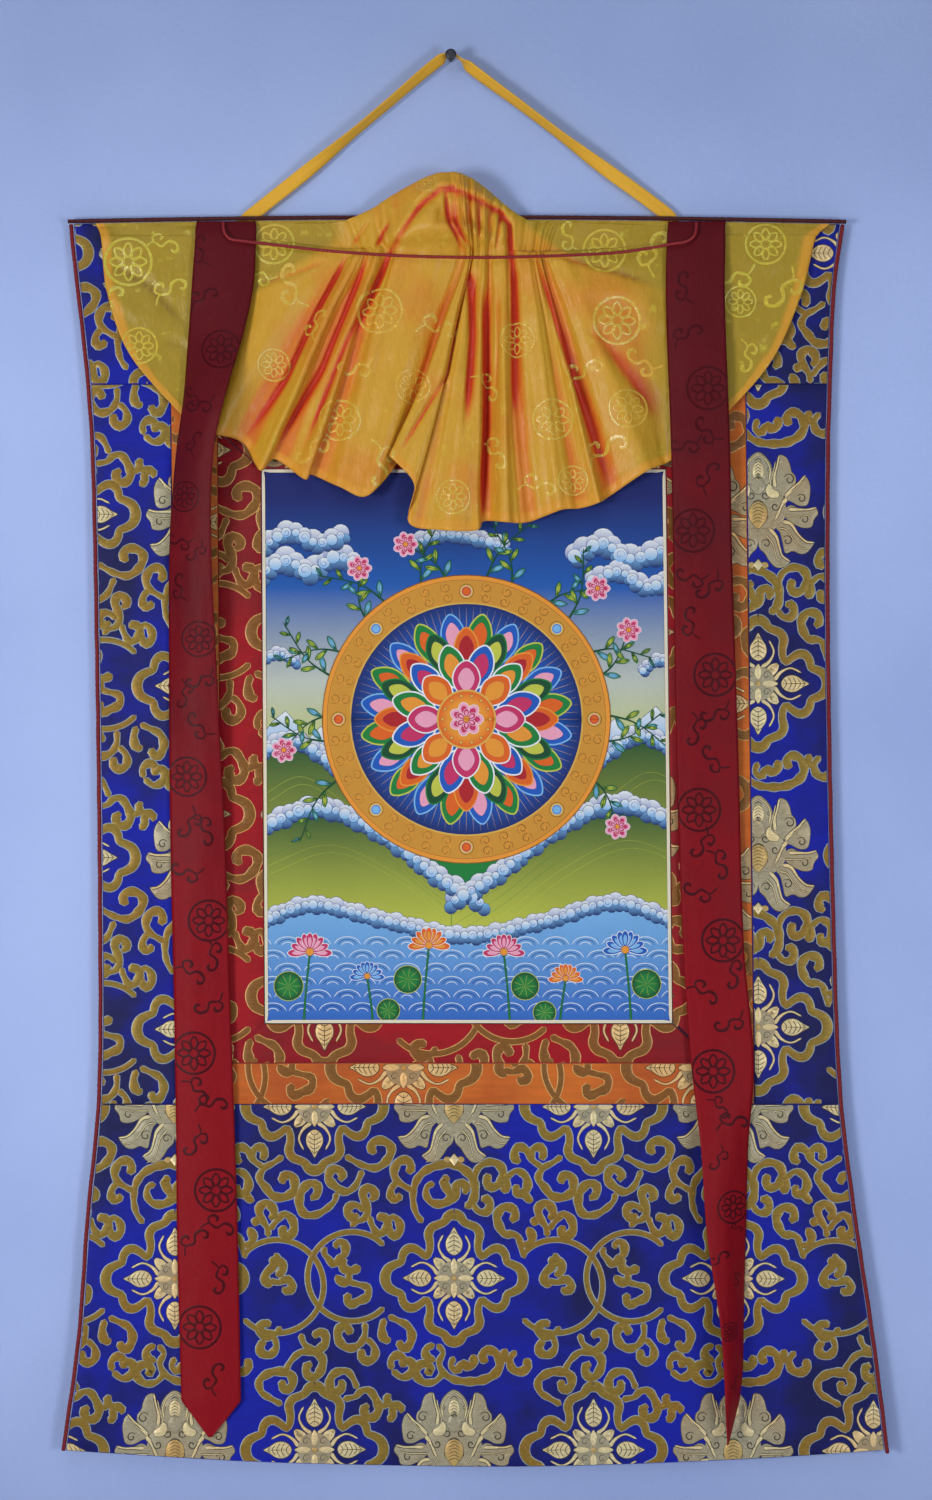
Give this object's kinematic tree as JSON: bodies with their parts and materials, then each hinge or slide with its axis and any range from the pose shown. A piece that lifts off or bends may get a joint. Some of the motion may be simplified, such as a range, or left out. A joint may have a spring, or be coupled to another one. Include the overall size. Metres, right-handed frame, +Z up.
{
  "type": "thangka scroll painting hung on a wall nail",
  "caption": "Painted canvas in nested brocade borders on a flared brocade mount, with a gathered silk veil, ribbons, tie cord and hanging tape over a wall nail.",
  "frame": {"origin": "centre of the wall nail's flat root face, where the nail leaves the wall", "axes": "+Z up along the height of the hanging, +Y into the wall, +X to the right as seen from the front; the front faces -Y"},
  "size_m": [0.7491, 0.0503, 1.283],
  "materials": {
    "blue_brocade": "silk brocade, ultramarine ground with gold weft motifs",
    "orange_brocade": "silk brocade, orange ground with gold scrolls",
    "red_brocade": "silk brocade, red ground with gold scrolls",
    "painted_canvas": "primed cotton canvas, matt mineral colours",
    "piping": "dark red cotton, matt",
    "veil_silk": "thin yellow silk damask, satin",
    "ribbon_silk": "dark red silk damask, satin",
    "tie_thread": "twisted dark red thread",
    "tape_cloth": "yellow woven cotton tape",
    "nail_steel": "dark steel"
  },
  "bodies": {
    "root": {"brocade_top": "blue_brocade", "brocade_left": "blue_brocade", "brocade_right": "blue_brocade", "brocade_bottom": "blue_brocade", "orange_border_top": "orange_brocade", "orange_border_bottom": "orange_brocade", "orange_border_left": "orange_brocade", "orange_border_right": "orange_brocade", "red_border_top": "red_brocade", "red_border_bottom": "red_brocade", "red_border_left": "red_brocade", "red_border_right": "red_brocade", "painting": "painted_canvas", "piping_left": "piping", "piping_right": "piping", "piping_top": "piping", "veil": "veil_silk", "ribbon_left": "ribbon_silk", "ribbon_right": "ribbon_silk", "tie_cord": "tie_thread", "hanging_tape": "tape_cloth", "wall_nail": "nail_steel"}
  },
  "joints": []
}
